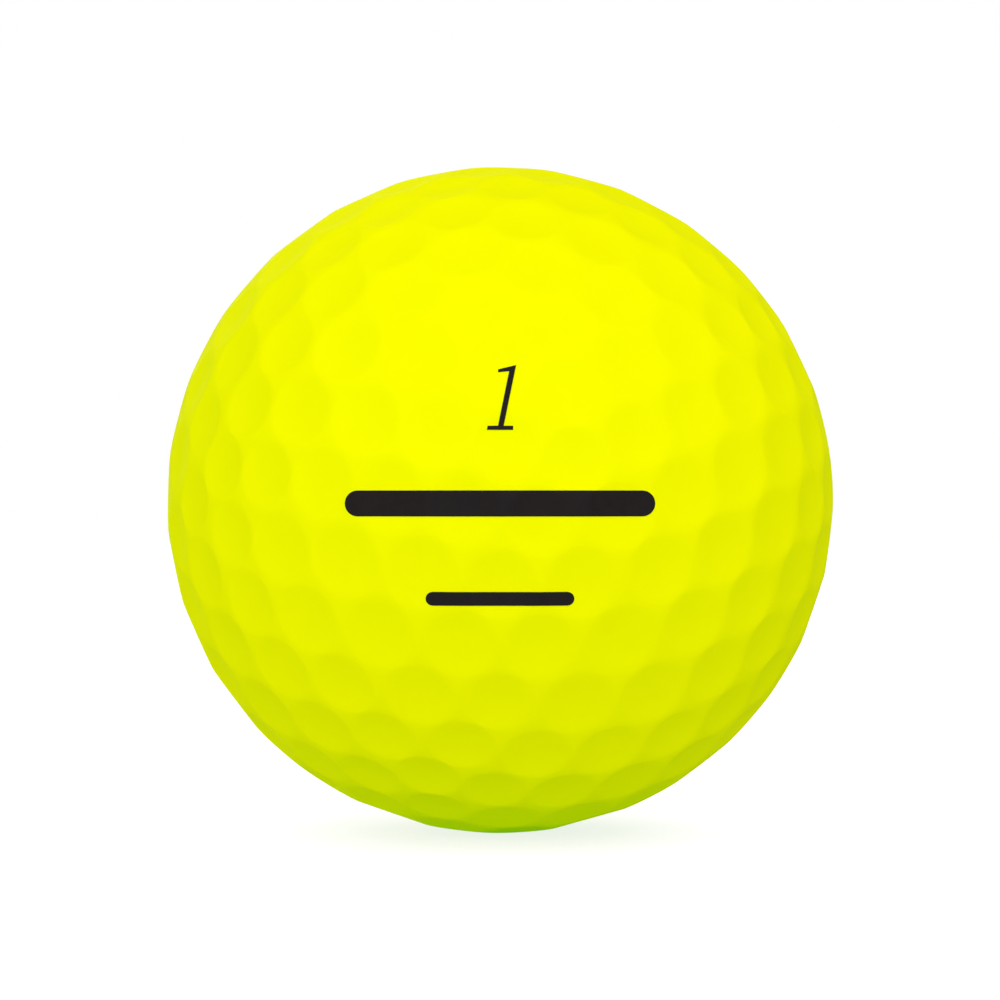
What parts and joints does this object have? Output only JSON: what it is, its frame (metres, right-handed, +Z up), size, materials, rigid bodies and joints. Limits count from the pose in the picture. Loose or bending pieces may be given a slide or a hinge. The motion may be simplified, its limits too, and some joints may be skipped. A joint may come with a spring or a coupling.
{
  "type": "golf ball",
  "caption": "Yellow matte golf ball: rubber core, thin mantle and dimpled cover, printed with a play number above a line of play bar.",
  "frame": {"origin": "centre of the ball", "axes": "+Z up as the print is read, -Y out of the printed face that a player reads, +X to that player's right"},
  "size_m": [0.0426, 0.0428, 0.0426],
  "materials": {
    "core_rubber": "moulded polybutadiene rubber, plain grey-blue, ground round",
    "mantle_ionomer": "moulded ionomer, off white, unpolished",
    "cover_yellow": "fluorescent yellow cover with a matte clear coat",
    "black_ink": "pad-printed near-black ink under the matte clear coat"
  },
  "bodies": {
    "root": {"core": "core_rubber", "mantle": "mantle_ionomer", "cover": "cover_yellow", "play_number_front": "black_ink", "line_of_play_bar_front": "black_ink", "lower_bar_front": "black_ink", "play_number_back": "black_ink", "line_of_play_bar_back": "black_ink", "lower_bar_back": "black_ink"}
  },
  "joints": []
}
